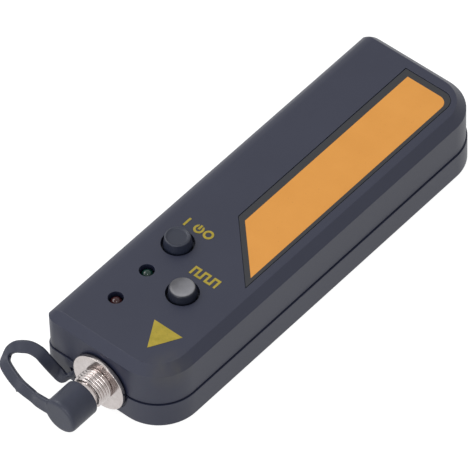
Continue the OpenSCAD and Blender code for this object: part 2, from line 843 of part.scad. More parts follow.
module focus_lens() {
    r = barrel_bore_d / 2 - fit;
    bulge = lens_t / 4;
    ball = (r * r + bulge * bulge) / (2 * bulge);
    color("#bcd4dc") on_port_axis(lens_front) intersection() {
        cylinder(r = r, h = lens_t);
        translate([0, 0, ball]) sphere(ball);
        translate([0, 0, lens_t - ball]) sphere(ball);
    }
}

module lens_retainer() {
    color("#a8873f") on_port_axis(retainer_front) difference() {
        cylinder(d = barrel_bore_d - 2 * fit, h = retainer_t);
        translate([0, 0, -over]) cylinder(d = diode_can_d, h = retainer_t + 2 * over);
    }
}

// Laser diode: base, can towards the lens, and three leads
module laser_diode() {
    lead = diode_can_d / 8;
    color("#b9a668") on_port_axis(diode_back) {
        translate([0, 0, -diode_base_t]) cylinder(d = diode_d, h = diode_base_t);
        translate([0, 0, -diode_base_t - diode_can_l]) cylinder(d = diode_can_d, h = diode_can_l);
        for (a = [0, 120, 240]) rotate(a)
            translate([diode_can_d / 4, 0, -lead]) cylinder(d = lead, h = 2 * retainer_t + lead);
    }
}

// Cell lying along Y with its positive end at the front
module cell() {
    rotate([-90, 0, 0]) {
        cylinder(d = nub_d, h = nub_l + fit);
        translate([0, 0, nub_l]) cylinder(d = cell_d, h = cell_l);
    }
}

module left_cell() {
    color("#3a6fb0") from_front(-cell_pitch / 2, bay_front + contact_t, cell_z) cell();
}

module right_cell() {
    color("#3a6fb0") from_front(cell_pitch / 2, bay_back - contact_t, cell_z) rotate(180) cell();
}

// Flat contact plate, centred on a cell's axis, with its face towards +Y at zero
module contact_plate(half) {
    high = cell_d * 2 / 5;
    translate([-half, -contact_t, -high]) cube([2 * half, contact_t, 2 * high]);
}

// Conical contact spring, turned about the cell's axis, standing on the plate
module contact_spring() {
    coils = 4;
    step = spring_l / coils;
    rotate([-90, 0, 0]) rotate_extrude() polygon(concat([[0, 0]],
        [for (i = [0 : coils - 1], p = coil_shares)
            [spring_d / 2 - (i + p[0]) * step / 3, (i + p[1]) * step]],
        [[0, spring_l]]));
}

module contact_positive() {
    color("#c4c6c8") from_front(-cell_pitch / 2, bay_front + contact_t, cell_z) contact_plate(cell_d * 2 / 5);
}

module contact_negative() {
    color("#c4c6c8") from_front(cell_pitch / 2, bay_front + contact_t, cell_z) {
        contact_plate(cell_d * 2 / 5);
        contact_spring();
    }
}

module contact_link() {
    color("#c4c6c8") from_front(0, bay_back - contact_t, cell_z) rotate(180) {
        contact_plate(cell_pitch / 2 + cell_d * 2 / 5);
        translate([cell_pitch / 2, 0, 0]) contact_spring();
    }
}

top_shell();
bottom_shell();
label_film();
label_field();
printed_marks();
power_button();
mode_button();
power_switch();
mode_switch();
power_plunger();
mode_plunger();
green_lamp();
red_lamp();
circuit_board();
driver_chip();
trimmer();
board_screws();
case_screws();
port();
ceramic_sleeve();
port_nut();
strap_ring();
cap_strap();
dust_cap();
laser_barrel();
laser_diode();
focus_lens();
lens_retainer();
battery_door();
left_cell();
right_cell();
contact_positive();
contact_negative();
contact_link();
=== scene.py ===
import json
import math

import bmesh
import bpy
from mathutils import Matrix, Vector

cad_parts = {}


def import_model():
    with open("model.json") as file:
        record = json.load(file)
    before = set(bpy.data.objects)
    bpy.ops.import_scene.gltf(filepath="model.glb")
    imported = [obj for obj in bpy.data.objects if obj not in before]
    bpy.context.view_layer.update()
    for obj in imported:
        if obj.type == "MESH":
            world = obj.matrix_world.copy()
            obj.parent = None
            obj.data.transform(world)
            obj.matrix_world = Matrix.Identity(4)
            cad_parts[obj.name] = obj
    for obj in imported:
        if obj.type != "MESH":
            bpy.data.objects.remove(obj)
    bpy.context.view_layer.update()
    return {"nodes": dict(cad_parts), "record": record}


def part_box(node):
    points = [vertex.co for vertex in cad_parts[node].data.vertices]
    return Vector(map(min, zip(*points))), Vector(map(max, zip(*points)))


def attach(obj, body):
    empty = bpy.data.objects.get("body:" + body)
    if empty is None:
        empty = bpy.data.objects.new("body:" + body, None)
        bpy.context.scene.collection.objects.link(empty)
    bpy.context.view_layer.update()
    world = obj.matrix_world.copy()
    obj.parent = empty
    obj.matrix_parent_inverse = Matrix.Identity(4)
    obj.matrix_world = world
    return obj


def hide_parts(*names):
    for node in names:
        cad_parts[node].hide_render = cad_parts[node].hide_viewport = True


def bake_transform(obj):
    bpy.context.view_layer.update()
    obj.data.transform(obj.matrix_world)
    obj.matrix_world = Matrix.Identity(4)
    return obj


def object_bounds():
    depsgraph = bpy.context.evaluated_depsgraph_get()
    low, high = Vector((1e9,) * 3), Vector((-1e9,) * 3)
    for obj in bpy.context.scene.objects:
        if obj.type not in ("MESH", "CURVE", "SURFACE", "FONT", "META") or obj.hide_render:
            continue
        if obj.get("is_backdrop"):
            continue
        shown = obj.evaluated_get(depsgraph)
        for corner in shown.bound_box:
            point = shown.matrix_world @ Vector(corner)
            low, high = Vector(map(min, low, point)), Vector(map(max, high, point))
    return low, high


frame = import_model()

# Shapes are made in millimetres, in the CAD's axes, and scaled to metres when they are placed
MM = 0.001

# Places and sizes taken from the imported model, in millimetres
case_low, case_high = [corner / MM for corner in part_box("top_shell")]
port_low, port_high = [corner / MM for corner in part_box("port")]
cap_low, cap_high = [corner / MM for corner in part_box("dust_cap")]
ring_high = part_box("strap_ring")[1] / MM
front = case_low.y
axis_x = (port_low.x + port_high.x) / 2
axis_z = (port_low.z + port_high.z) / 2
flange_r = (port_high.z - port_low.z) / 2
ring_r = ring_high.z - axis_z

# Heights along the port's axis, counted from the front face towards the back
nose_end = port_low.y - front
neck_end = port_high.y - front
cap_end = cap_low.y - front
cap_mouth = cap_high.y - front

# Port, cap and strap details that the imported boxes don't give, as in the part's source
RING_T = 0.5
FLANGE_T = 0.9
THREAD_R = 4
THREAD_DEPTH = 0.42
THREAD_PITCH = 0.75
THREAD_L = 3.7
NOSE_R = 3
BORE_R = 1.35
CAP_R = 4.325
CAP_BORE_R = 3.08
CAP_FLOOR = 0.3
STRAP_W = 2.9
STRAP_T = 1.2
STRAP_LEAN = math.radians(55)
TAB_ANGLE = math.radians(207)
TAB_REACH = 8

# Where the port's flange and thread begin, as heights along its axis, and its radius at the
# foot of the thread
FLANGE_FACE = -RING_T - FLANGE_T
THREAD_END = FLANGE_FACE - THREAD_L
THREAD_ROOT = THREAD_R - THREAD_DEPTH
# Rows of points in one turn of the thread, and the lengths over which it fades at its two ends
THREAD_ROWS = 14
THREAD_FADES = (0.35, 0.45)
# Depth of the port's bore
BORE_DEPTH = 9

# The buttons' radius where they pass the roof and at the top, and their flange's thickness
BUTTON_SIDE_R = 3.2
BUTTON_TOP_R = 2.9
BUTTON_FLANGE_T = 0.85

# The strap's route: X, distance from the front face, Z, as in the part's source but for its
# two ends, which run into the tab and the cap, and a slightly rounder turn
STRAP_ROUTE = [
    (-7.6, -0.7, 3.9), (-8.1, -0.8, 3.7), (-8.8, -1.3, 3.1), (-9.8, -2.2, 2.45),
    (-11.4, -2.5, 3.6), (-12.4, -3.2, 5.6), (-13.6, -3.7, 7.4), (-14.9, -4.1, 8.9),
    (-17, -4.8, 9.65), (-19.3, -6, 9.15), (-20.8, -6.8, 7.45), (-21.1, -7.6, 6.3),
    (-20.3, -9.2, 6), (-17.7, -10.5, 6), (-14.4, -11.7, 6.2), (-11.9, -12.5, 6.8),
    (-8.9, -12.8, 6.8), (-6.8, -13.3, 7), (-3.8, -13.4, 7.1),
]
# Steps of the strap's line from one point of its route to the next
STRAP_STEPS = 8
# Where the strap turns back: the first and last steps between which its width is carried along
STRAP_TURN = (66, 104)
# Direction across the strap at the tab, the step from which it gives way to the lean, and
# the number of steps that this takes
ROOT_UP = Vector((0.35, 0.25, 0.9)).normalized()
ROOT_BLEND = (22, 8)
# The strap's inner edge is moved by a share of half the width: out towards the cap, over the
# last steps, and in by the tab, up to a step, and round a step at the turn, over so many steps
CAP_FLARE = (0.9, 14)
ROOT_WAIST = (0.25, 28, 12)
TURN_WAIST = (0.45, 82, 14)
# Step at which the nub of the mould's gate stands, its radius and half its height
GATE_STEP = 114
NUB_R = 0.3
NUB_REACH = 0.35

# Gap between the rubber ring and the front face, and the voxels and smoothing of the skin
RING_GAP = 0.05
SKIN_VOXEL = 0.13
SKIN_PASSES = 3

# Strength of the white surroundings as light
AMBIENT = 0.52
# How white the floor looks by itself, and how far it lies below the object
FLOOR_GLOW = 0.88
FLOOR_GAP = 0.02
# Studio lamps, which all aim just above the origin: place and size in metres, and watts
LAMP_AIM = Vector((0, 0, 0.01))
LAMPS = {
    "key": ((-0.75, -0.1, 0.75), (0.5, 0.5), 3.7),
    "fill": ((0.6, -0.5, 0.6), (0.6, 0.6), 0.6),
    "front": ((0.15, -1.05, 0.15), (0.6, 0.5), 4),
    "glint_left": ((-0.43, -0.56, 0.71), (0.12, 0.12), 0.9),
    "glint_right": ((0.28, -0.18, 0.94), (0.12, 0.12), 0.9),
}

# Widths of the edges rounded on CAD nodes that keep their shape
EDGES = {
    "top_shell": 0.08, "bottom_shell": 0.08, "battery_door": 0.05, "label_film": 0.05,
    "port_nut": 0.05, "case_screws": 0.05, "board_screws": 0.05, "trimmer": 0.05,
}

# Plain surfaces, as surface() takes them
SURFACES = {
    "case_plastic": dict(
        dark=(0.0105, 0.0135, 0.034), light=(0.0135, 0.0168, 0.039), roughness=(0.40, 0.52),
        grain=0.16, depth=0.012, blotch=14, scratches=0.004,
        # Painted highlight: pale streaks painted on the bevel of the front right corner, standing in
        # for light caught there
        scuff=((15.2, -49, 16.7), 6, (0.034, 0.034, 0.042))),
    "label_black": dict(
        dark=(0.008, 0.009, 0.013), light=(0.011, 0.012, 0.017), roughness=(0.36, 0.46),
        grain=0.3, depth=0.006),
    "button_plastic": dict(
        dark=(0.009, 0.0125, 0.027), light=(0.0115, 0.0155, 0.032), roughness=(0.42, 0.52),
        grain=0.14, depth=0.008, blotch=3),
    "switch_plastic": dict(
        dark=(0.012, 0.012, 0.013), light=(0.02, 0.02, 0.022), roughness=(0.45, 0.6),
        grain=0.2, depth=0.01),
    "plunger_plastic": dict(
        dark=(0.6, 0.58, 0.52), light=(0.68, 0.66, 0.6), roughness=(0.4, 0.5),
        grain=0.3, depth=0.008),
    "board_laminate": dict(
        dark=(0.012, 0.075, 0.035), light=(0.018, 0.1, 0.048), roughness=(0.3, 0.42),
        grain=0.5, depth=0.012),
    "steel": dict(
        dark=(0.42, 0.42, 0.43), light=(0.55, 0.55, 0.56), roughness=(0.25, 0.4),
        grain=0.3, depth=0.006, Metallic=1),
    "ceramic": dict(
        dark=(0.78, 0.76, 0.71), light=(0.84, 0.82, 0.78), roughness=(0.15, 0.25),
        grain=0.4, depth=0.003),
    "rubber": dict(
        dark=(0.011, 0.015, 0.032), light=(0.017, 0.021, 0.042), roughness=(0.40, 0.54),
        grain=0.18, depth=0.012, blotch=4),
    "brass": dict(
        dark=(0.5, 0.34, 0.13), light=(0.62, 0.44, 0.19), roughness=(0.25, 0.38),
        grain=0.4, depth=0.008, Metallic=1),
    "gilt_steel": dict(
        dark=(0.55, 0.42, 0.2), light=(0.66, 0.53, 0.28), roughness=(0.2, 0.34),
        grain=0.3, depth=0.006, Metallic=1),
    "lens_glass": dict(
        dark=(0.72, 0.85, 0.88), light=(0.8, 0.9, 0.92), roughness=(0.02, 0.06),
        grain=0.8, depth=0.001, Transmission_Weight=0.9, IOR=1.5),
}

# Lies along the port's axis: Z of the shape points back from the front face
PORT_AXIS = Matrix.Translation((axis_x, front, axis_z)) @ Matrix.Rotation(-math.pi / 2, 4, "X")


def linked(name, data):
    """An object of the scene that holds data."""
    thing = bpy.data.objects.new(name, data)
    bpy.context.scene.collection.objects.link(thing)
    return thing


def camera():
    """The photograph's camera, solved from the straight edges of the case."""
    turn = Vector((-0.6846, -0.2787, -0.67027))
    target = Vector((0, 0.75, 9))
    offset = Vector((-7.6254, -1.841, 1343.89))
    rotation = Matrix.Rotation(-turn.length, 4, turn)
    data = bpy.data.cameras.new("camera")
    data.sensor_width = 36
    data.lens = 470.2
    data.clip_start = 0.05
    data.clip_end = 10
    view = linked("camera", data)
    view.matrix_world = Matrix.Translation((target + rotation @ offset) * MM) @ rotation
    bpy.context.scene.camera = view


class Nodes:
    """A material's node tree, with short calls for the nodes used here."""

    def __init__(self, name):
        self.material = bpy.data.materials.new(name)
        self.material.use_nodes = True
        self.tree = self.material.node_tree
        self.tree.nodes.clear()
        self.output = self.tree.nodes.new("ShaderNodeOutputMaterial")
        self.place = self.tree.nodes.new("ShaderNodeTexCoord").outputs["Object"]

    def link(self, source, target):
        self.tree.links.new(source, target)

    def principled(self, **values):
        shader = self.tree.nodes.new("ShaderNodeBsdfPrincipled")
        for name, value in values.items():
            shader.inputs[name.replace("_", " ")].default_value = value
        self.link(shader.outputs[0], self.output.inputs["Surface"])
        return shader

    def vector(self, operation, source, value=(0, 0, 0)):
        """A vector math node between a socket and a fixed vector."""
        node = self.tree.nodes.new("ShaderNodeVectorMath")
        node.operation = operation
        node.inputs[1].default_value = value
        self.link(source, node.inputs[0])
        return node.outputs

    def axes(self):
        """X, Y and Z of the place on the object, in metres."""
        node = self.tree.nodes.new("ShaderNodeSeparateXYZ")
        self.link(self.place, node.inputs[0])
        return node.outputs

    def noise(self, size, detail=3, roughness=0.55, stretch=(1, 1, 1)):
        """Noise whose features are about size millimetres across."""
        node = self.tree.nodes.new("ShaderNodeTexNoise")
        node.inputs["Scale"].default_value = 1
        node.inputs["Detail"].default_value = detail
        node.inputs["Roughness"].default_value = roughness
        scale = [s / size / MM for s in stretch]
        self.link(self.vector("MULTIPLY", self.place, scale)["Vector"], node.inputs["Vector"])
        return node.outputs["Fac"]

    def spread(self, value, low, high, out_low, out_high):
        """Maps low..high of a value to out_low..out_high, clamped."""
        node = self.tree.nodes.new("ShaderNodeMapRange")
        for socket, number in zip(node.inputs[1:5], (low, high, out_low, out_high)):
            socket.default_value = number
        self.link(value, node.inputs[0])
        return node.outputs[0]

    def drift(self, size, detail=3):
        """Soft noise that covers 0 to 1."""
        return self.spread(self.noise(size, detail), 0.3, 0.7, 0, 1)

    def math(self, operation, first, second):
        node = self.tree.nodes.new("ShaderNodeMath")
        node.operation = operation
        for socket, value in zip(node.inputs, (first, second)):
            if isinstance(value, (int, float)):
                socket.default_value = value
            else:
                self.link(value, socket)
        return node.outputs[0]

    def mix(self, factor, first, second):
        """Mixes two colours, each an RGB triple or another node's output."""
        node = self.tree.nodes.new("ShaderNodeMix")
        node.data_type = "RGBA"
        self.link(factor, node.inputs["Factor"])
        for socket, colour in ((node.inputs[6], first), (node.inputs[7], second)):
            if isinstance(colour, tuple):
                socket.default_value = (*colour, 1)
            else:
                self.link(colour, socket)
        return node.outputs[2]

    def bump(self, height, distance, below=None):
        """Normals of a relief of the given depth in millimetres, over those of another."""
        node = self.tree.nodes.new("ShaderNodeBump")
        node.inputs["Strength"].default_value = 1
        node.inputs["Distance"].default_value = distance * MM
        self.link(height, node.inputs["Height"])
        if below is not None:
            self.link(below, node.inputs["Normal"])
        return node.outputs[0]


def surface(name, dark, light, roughness, grain, depth, blotch=6, scratches=0, scuff=None, **values):
    """Material whose colour drifts between dark and light in blotches, whose roughness varies
    between two values, and whose bump is a grain of the given size and depth in millimetres,
    cut by scratches of a depth. A painted highlight, where given, is a place, a radius and the
    colour of pale streaks painted there, where the surface catches the light. The other values
    are the shader's."""
    nodes = Nodes(name)
    shader = nodes.principled(**values)
    colour = nodes.mix(nodes.drift(blotch, 4), dark, light)
    # Painted highlight: pale streaks mixed into the colour near a place, standing in for the light it
    # catches
    if scuff:
        centre, radius, highlight_colour = scuff
        away = nodes.vector("DISTANCE", nodes.place, [c * MM for c in centre])["Value"]
        near = nodes.spread(away, radius * 0.3 * MM, radius * MM, 1, 0)
        streaks = nodes.spread(nodes.noise(2.4, 2, 0.5, stretch=(1, 1, 0.1)), 0.35, 0.7, 0.3, 0.9)
        colour = nodes.mix(nodes.math("MULTIPLY", near, streaks), colour, highlight_colour)
    nodes.link(colour, shader.inputs["Base Color"])
    fine = nodes.noise(grain, 4, 0.6)
    nodes.link(nodes.spread(fine, 0.25, 0.75, *roughness), shader.inputs["Roughness"])
    normal = nodes.bump(fine, depth)
    if scratches:
        lines = nodes.noise(0.22, 2, 0.5, stretch=(1, 0.03, 1))
        normal = nodes.bump(nodes.spread(lines, 0.68, 0.74, 1, 0), scratches, normal)
    nodes.link(normal, shader.inputs["Normal"])
    return nodes.material


def label_orange():
    """Matt printed film: an even orange with a faint mottle and fine specks."""
    nodes = Nodes("label_orange")
    shader = nodes.principled(Specular_IOR_Level=0.4)
    colour = nodes.mix(nodes.drift(9), (0.70, 0.297, 0.050), (0.74, 0.321, 0.058))
    specks = nodes.spread(nodes.noise(0.35, 2, 0.4), 0.72, 0.78, 0, 0.55)
    colour = nodes.mix(specks, colour, (0.45, 0.17, 0.035))
    nodes.link(colour, shader.inputs["Base Color"])
    fine = nodes.noise(0.3, 4, 0.6)
    nodes.link(nodes.spread(fine, 0.25, 0.75, 0.42, 0.56), shader.inputs["Roughness"])
    nodes.link(nodes.bump(fine, 0.006), shader.inputs["Normal"])
    return nodes.material


def ink_yellow():
    """Screen-printed ink, thinner in places so that the case darkens it."""
    nodes = Nodes("ink_yellow")
    shader = nodes.principled(Specular_IOR_Level=0.35)
    patches = nodes.spread(nodes.noise(1.6, 4, 0.6), 0.35, 0.7, 0, 1)
    colour = nodes.mix(patches, (0.33, 0.26, 0.022), (0.44, 0.33, 0.04))
    thin = nodes.spread(nodes.noise(0.25, 2, 0.5), 0.62, 0.75, 0, 0.5)
    nodes.link(nodes.mix(thin, colour, (0.1, 0.09, 0.03)), shader.inputs["Base Color"])
    nodes.link(nodes.spread(patches, 0, 1, 0.45, 0.6), shader.inputs["Roughness"])
    nodes.link(nodes.bump(nodes.noise(0.2, 2), 0.008), shader.inputs["Normal"])
    return nodes.material


def nickel():
    """Polished nickel plate with fine turning marks round the port's axis."""
    nodes = Nodes("nickel")
    shader = nodes.principled(Metallic=1)
    offset = nodes.vector("SUBTRACT", nodes.place, (axis_x * MM, 0, axis_z * MM))["Vector"]
    radius = nodes.vector("LENGTH", nodes.vector("MULTIPLY", offset, (1 / MM, 0, 1 / MM))["Vector"])
    rings = nodes.tree.nodes.new("ShaderNodeTexNoise")
    rings.noise_dimensions = "1D"
    rings.inputs["Scale"].default_value = 9
    rings.inputs["Detail"].default_value = 3
    nodes.link(radius["Value"], rings.inputs["W"])
    stain = nodes.spread(nodes.noise(1.4, 4, 0.6), 0.35, 0.7, 0, 1)
    nodes.link(nodes.mix(stain, (0.50, 0.455, 0.44), (0.58, 0.54, 0.53)), shader.inputs["Base Color"])
    nodes.link(nodes.spread(nodes.noise(0.6, 3), 0.3, 0.7, 0.12, 0.22), shader.inputs["Roughness"])
    nodes.link(nodes.bump(rings.outputs["Fac"], 0.0015), shader.inputs["Normal"])
    return nodes.material


def button_gloss():
    """Dark button whose crown has a painted sheen: a pale colour that stands in for light reflected off
    it, palest at its right.
    """
    nodes = Nodes("button_gloss")
    shader = nodes.principled(Specular_IOR_Level=0.3)
    low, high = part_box("mode_button")
    axes = nodes.axes()
    # Painted sheen: the crown's colour is painted pale, palest at the right, as a painted reflection of
    # the light
    crown = nodes.spread(axes["Z"], high.z - 0.55 * MM, high.z - 0.38 * MM, 0, 1)
    cloud = nodes.noise(2.2, 3)
    clouded = nodes.math("ADD", axes["X"], nodes.math("MULTIPLY", cloud, 3 * MM))
    across = nodes.spread(clouded, low.x + 2.5 * MM, high.x + 0.5 * MM, 0, 1)
    pale = nodes.mix(across, (0.03, 0.03, 0.037), (0.31, 0.31, 0.335))
    nodes.link(nodes.mix(crown, (0.014, 0.0165, 0.028), pale), shader.inputs["Base Color"])
    nodes.link(nodes.spread(cloud, 0.3, 0.7, 0.3, 0.4), shader.inputs["Roughness"])
    nodes.link(nodes.bump(nodes.noise(0.2, 4, 0.6), 0.004), shader.inputs["Normal"])
    return nodes.material


def lamp_lens(name, deep, pale):
    """Tinted epoxy, clouded between a deep and a pale colour."""
    nodes = Nodes(name)
    shader = nodes.principled(Transmission_Weight=0.06, IOR=1.5, Specular_IOR_Level=0.3,
                              Coat_Weight=0.12, Coat_Roughness=0.03)
    cloud = nodes.drift(0.9)
    nodes.link(nodes.mix(cloud, deep, pale), shader.inputs["Base Color"])
    nodes.link(nodes.spread(cloud, 0, 1, 0.03, 0.06), shader.inputs["Roughness"])
    nodes.link(nodes.bump(nodes.noise(0.5, 2), 0.004), shader.inputs["Normal"])
    return nodes.material


def cell_wrap():
    """Plain printed wrap round a cell, with bare nickel at its two ends."""
    nodes = Nodes("cell_wrap")
    shader = nodes.principled()
    low, high = [corner.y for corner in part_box("left_cell")]
    middle = (low + high) / 2
    half = (high - low) / 2
    along = nodes.axes()["Y"]
    reach = nodes.math("ABSOLUTE", nodes.math("SUBTRACT", along, middle), 0)
    bare = nodes.spread(reach, half - 1.8 * MM, half - 1.6 * MM, 0, 1)
    band = nodes.spread(along, middle - 6 * MM, middle - 5.9 * MM, 0, 1)
    wrap = nodes.mix(band, (0.02, 0.025, 0.03), (0.05, 0.16, 0.42))
    drift = nodes.drift(4)
    metal = nodes.mix(drift, (0.5, 0.49, 0.47), (0.6, 0.59, 0.57))
    nodes.link(nodes.mix(bare, wrap, metal), shader.inputs["Base Color"])
    nodes.link(bare, shader.inputs["Metallic"])
    nodes.link(nodes.spread(drift, 0, 1, 0.25, 0.4), shader.inputs["Roughness"])
    nodes.link(nodes.bump(nodes.noise(0.5, 3), 0.006), shader.inputs["Normal"])
    return nodes.material


def materials():
    """One material for each slot of the record."""
    looks = {name: surface(name, **values) for name, values in SURFACES.items()}
    looks["label_orange"] = label_orange()
    looks["ink_yellow"] = ink_yellow()
    looks["button_gloss"] = button_gloss()
    looks["lamp_green"] = lamp_lens("lamp_green", (0.003, 0.022, 0.016), (0.007, 0.04, 0.03))
    looks["lamp_red"] = lamp_lens("lamp_red", (0.03, 0.007, 0.009), (0.05, 0.012, 0.014))
    looks["nickel"] = nickel()
    looks["cell_wrap"] = cell_wrap()
    return looks


def dress_cad_nodes(looks):
    """Gives every CAD node the material of its slot in the record."""
    for row in frame["record"]["subparts"]:
        mesh = frame["nodes"][row["node"]].data
        mesh.materials.clear()
        mesh.materials.append(looks[row["material_slot"]])


def soften(name, width):
    """Rounds the sharp edges of a CAD node by width millimetres."""
    node = frame["nodes"][name]
    mesh = node.data
    if mesh.has_custom_normals:
        mesh.attributes.remove(mesh.attributes["custom_normal"])
    mesh.shade_smooth()
    weld = node.modifiers.new("weld", "WELD")
    weld.merge_threshold = 0.0005 * MM
    flat = node.modifiers.new("flat", "DECIMATE")
    flat.decimate_type = "DISSOLVE"
    flat.angle_limit = math.radians(0.2)
    bevel = node.modifiers.new("edges", "BEVEL")
    bevel.width = width * MM
    bevel.segments = 2
    bevel.limit_method = "ANGLE"
    bevel.angle_limit = math.radians(28)
    bevel.use_clamp_overlap = False
    bevel.harden_normals = True


def new_object(name, verts, faces):
    """An object from points and the faces that join them."""
    mesh = bpy.data.meshes.new(name)
    mesh.from_pydata([tuple(v) for v in verts], [], faces)
    mesh.update()
    return linked(name, mesh)


def from_bmesh(name, bm):
    """An object from a bmesh, which is freed."""
    mesh = bpy.data.meshes.new(name)
    bm.to_mesh(mesh)
    bm.free()
    return linked(name, mesh)


def shade(piece, angle):
    """Smooth shading, with creases where faces meet at more than angle degrees."""
    bm = bmesh.new()
    bm.from_mesh(piece.data)
    bmesh.ops.recalc_face_normals(bm, faces=bm.faces)
    for face in bm.faces:
        face.smooth = True
    for edge in bm.edges:
        edge.smooth = edge.calc_face_angle(0) < math.radians(angle)
    bm.to_mesh(piece.data)
    bm.free()


def place(piece, slot, looks, body, node):
    """Scales a finished shape to metres, dresses it and lets it stand for a node of a body."""
    piece.data.transform(Matrix.Scale(MM, 4))
    shade(piece, 50)
    piece.data.materials.append(looks[slot])
    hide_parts(node)
    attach(piece, body)


def rounded_path(corners, steps=5):
    """Points through (x, y, rounding) corners, each rounding an arc-like curve."""
    path = []
    for i, (x, y, cut) in enumerate(corners):
        here = Vector((x, y))
        if cut == 0:
            path.append(here)
            continue
        before = (Vector(corners[i - 1][:2]) - here).normalized() * cut
        after = (Vector(corners[(i + 1) % len(corners)][:2]) - here).normalized() * cut
        for k in range(steps + 1):
            t = k / steps
            path.append(here + before * (1 - t) ** 2 + after * t ** 2)
    return path


def lathe(name, path, matrix, closed=False, segments=128):
    """Shape turned about its own Z, from a path of (radius, height), then moved by matrix.
    A path that isn't closed starts and ends on the axis."""
    verts = []
    rings = []
    for radius, height in path:
        if radius < 1e-6:
            rings.append([len(verts)])
            verts.append(matrix @ Vector((0, 0, height)))
            continue
        rings.append(list(range(len(verts), len(verts) + segments)))
        for k in range(segments):
            angle = math.tau * k / segments
            verts.append(matrix @ Vector((radius * math.cos(angle), radius * math.sin(angle), height)))
    pairs = list(zip(rings, rings[1:]))
    if closed:
        pairs.append((rings[-1], rings[0]))
    faces = []
    for low, high in pairs:
        for k in range(segments):
            n = (k + 1) % segments
            if len(low) == 1:
                faces.append((low[0], high[n], high[k]))
            elif len(high) == 1:
                faces.append((low[k], low[n], high[0]))
            else:
                faces.append((low[k], low[n], high[n], high[k]))
    return new_object(name, verts, faces)


def join(name, pieces):
    """One object from several, each a closed shape of its own."""
    bm = bmesh.new()
    for piece in pieces:
        bm.from_mesh(piece.data)
        bpy.data.objects.remove(piece)
    return from_bmesh(name, bm)


def button(name, edge, crown, looks, slot, body):
    """Push button: flange under the roof, slightly tapered side, rounded edge, and a top
    that rises to crown, or is dished inside a thin rim where crown is below zero."""
    low, high = [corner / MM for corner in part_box(name)]
    flange = (high.x - low.x) / 2
    seat = low.z + BUTTON_FLANGE_T
    top = high.z
    fillet = 0.1
    corners = [(0, low.z, 0), (flange, low.z, fillet), (flange, seat, fillet),
               (BUTTON_SIDE_R, seat, fillet), (BUTTON_SIDE_R, case_high.z - 0.2, 0.3)]
    if crown > 0:
        corners += [(BUTTON_TOP_R + 0.02, top - crown, edge),
                    (BUTTON_TOP_R * 0.55, top - crown * 0.3, 0.6), (0, top, 0)]
    else:
        corners += [(BUTTON_TOP_R, top, edge), (BUTTON_TOP_R - 0.42, top, 0.16),
                    (BUTTON_TOP_R - 0.7, top + crown, 0.3), (0, top + crown, 0)]
    middle = Matrix.Translation(((low.x + high.x) / 2, (low.y + high.y) / 2, 0))
    piece = lathe(name + "_piece", rounded_path(corners, 8), middle)
    place(piece, slot, looks, body, name)


def smooth_step(t):
    """0 to 1 as t goes from 0 to 1, level at both ends."""
    t = max(0, min(1, t))
    return t * t * (3 - 2 * t)


def thread_radius(angle, height):
    """Radius of a helical thread that fades out at its two ends."""
    phase = (height / THREAD_PITCH - angle / math.tau) % 1
    tooth = 0.5 - 0.5 * math.cos(math.tau * phase)
    fade_in, fade_out = THREAD_FADES
    fade = smooth_step((height - THREAD_END) / fade_in) * smooth_step((FLANGE_FACE - height) / fade_out)
    return THREAD_R - THREAD_DEPTH * (1 - tooth * fade)


def port_piece():
    """The turned port: bored nose, helical thread, chamfered flange and neck."""
    before = rounded_path([
        (0, nose_end + BORE_DEPTH, 0), (BORE_R, nose_end + BORE_DEPTH, 0), (BORE_R, nose_end, 0.2),
        (NOSE_R, nose_end, 0.35), (NOSE_R, THREAD_END, 0.1), (THREAD_ROOT + 0.05, THREAD_END, 0.08)])
    after = rounded_path([
        (THREAD_ROOT, FLANGE_FACE, 0.06), (flange_r, FLANGE_FACE, 0.1), (flange_r, -RING_T, 0.06),
        (THREAD_R, -RING_T, 0.05), (THREAD_R, neck_end, 0.1), (0, neck_end, 0)])
    rows = int(THREAD_L / THREAD_PITCH * THREAD_ROWS)
    segments = 144
    verts = []
    rings = []

    def ring(radius_at, height):
        rings.append(list(range(len(verts), len(verts) + segments)))
        for k in range(segments):
            angle = math.tau * k / segments
            r = radius_at(angle)
            verts.append(PORT_AXIS @ Vector((r * math.cos(angle), r * math.sin(angle), height)))

    for radius, height in before[1:]:
        ring(lambda angle, r=radius: r, height)
    for i in range(1, rows):
        height = THREAD_END + THREAD_L * i / rows
        ring(lambda angle, h=height: thread_radius(angle, h), height)
    for radius, height in after[:-1]:
        ring(lambda angle, r=radius: r, height)
    faces = [[*reversed(rings[0])], rings[-1]]
    for low, high in zip(rings, rings[1:]):
        for k in range(segments):
            n = (k + 1) % segments
            faces.append((low[k], low[n], high[n], high[k]))
    return new_object("port_piece", verts, faces)


def catmull(p0, p1, p2, p3, t):
    """Point at share t between p1 and p2 on a smooth curve through four points."""
    return ((2 * p1) + (p2 - p0) * t + (2 * p0 - 5 * p1 + 4 * p2 - p3) * t * t
            + (3 * p1 - p0 - 3 * p2 + p3) * t * t * t) / 2


def strap_line():
    """Smooth route of the strap, in the frame's axes."""
    points = [Vector((x, y + front, z)) for x, y, z in STRAP_ROUTE]
    last = len(points) - 1
    line = []
    for i in range(last):
        p0, p1, p2, p3 = [points[max(0, min(last, k))] for k in range(i - 1, i + 3)]
        line += [catmull(p0, p1, p2, p3, s / STRAP_STEPS) for s in range(STRAP_STEPS)]
    return line + [points[-1]]


def strap_section():
    """Outline of the strap: a flat band with rounded edges, as (across, through) points."""
    a = STRAP_W / 2
    b = STRAP_T / 2
    cut = 0.42
    corners = [(a, -b, cut), (a, b, cut), (-a, b, cut), (-a, -b, cut)]
    return rounded_path(corners, 4)


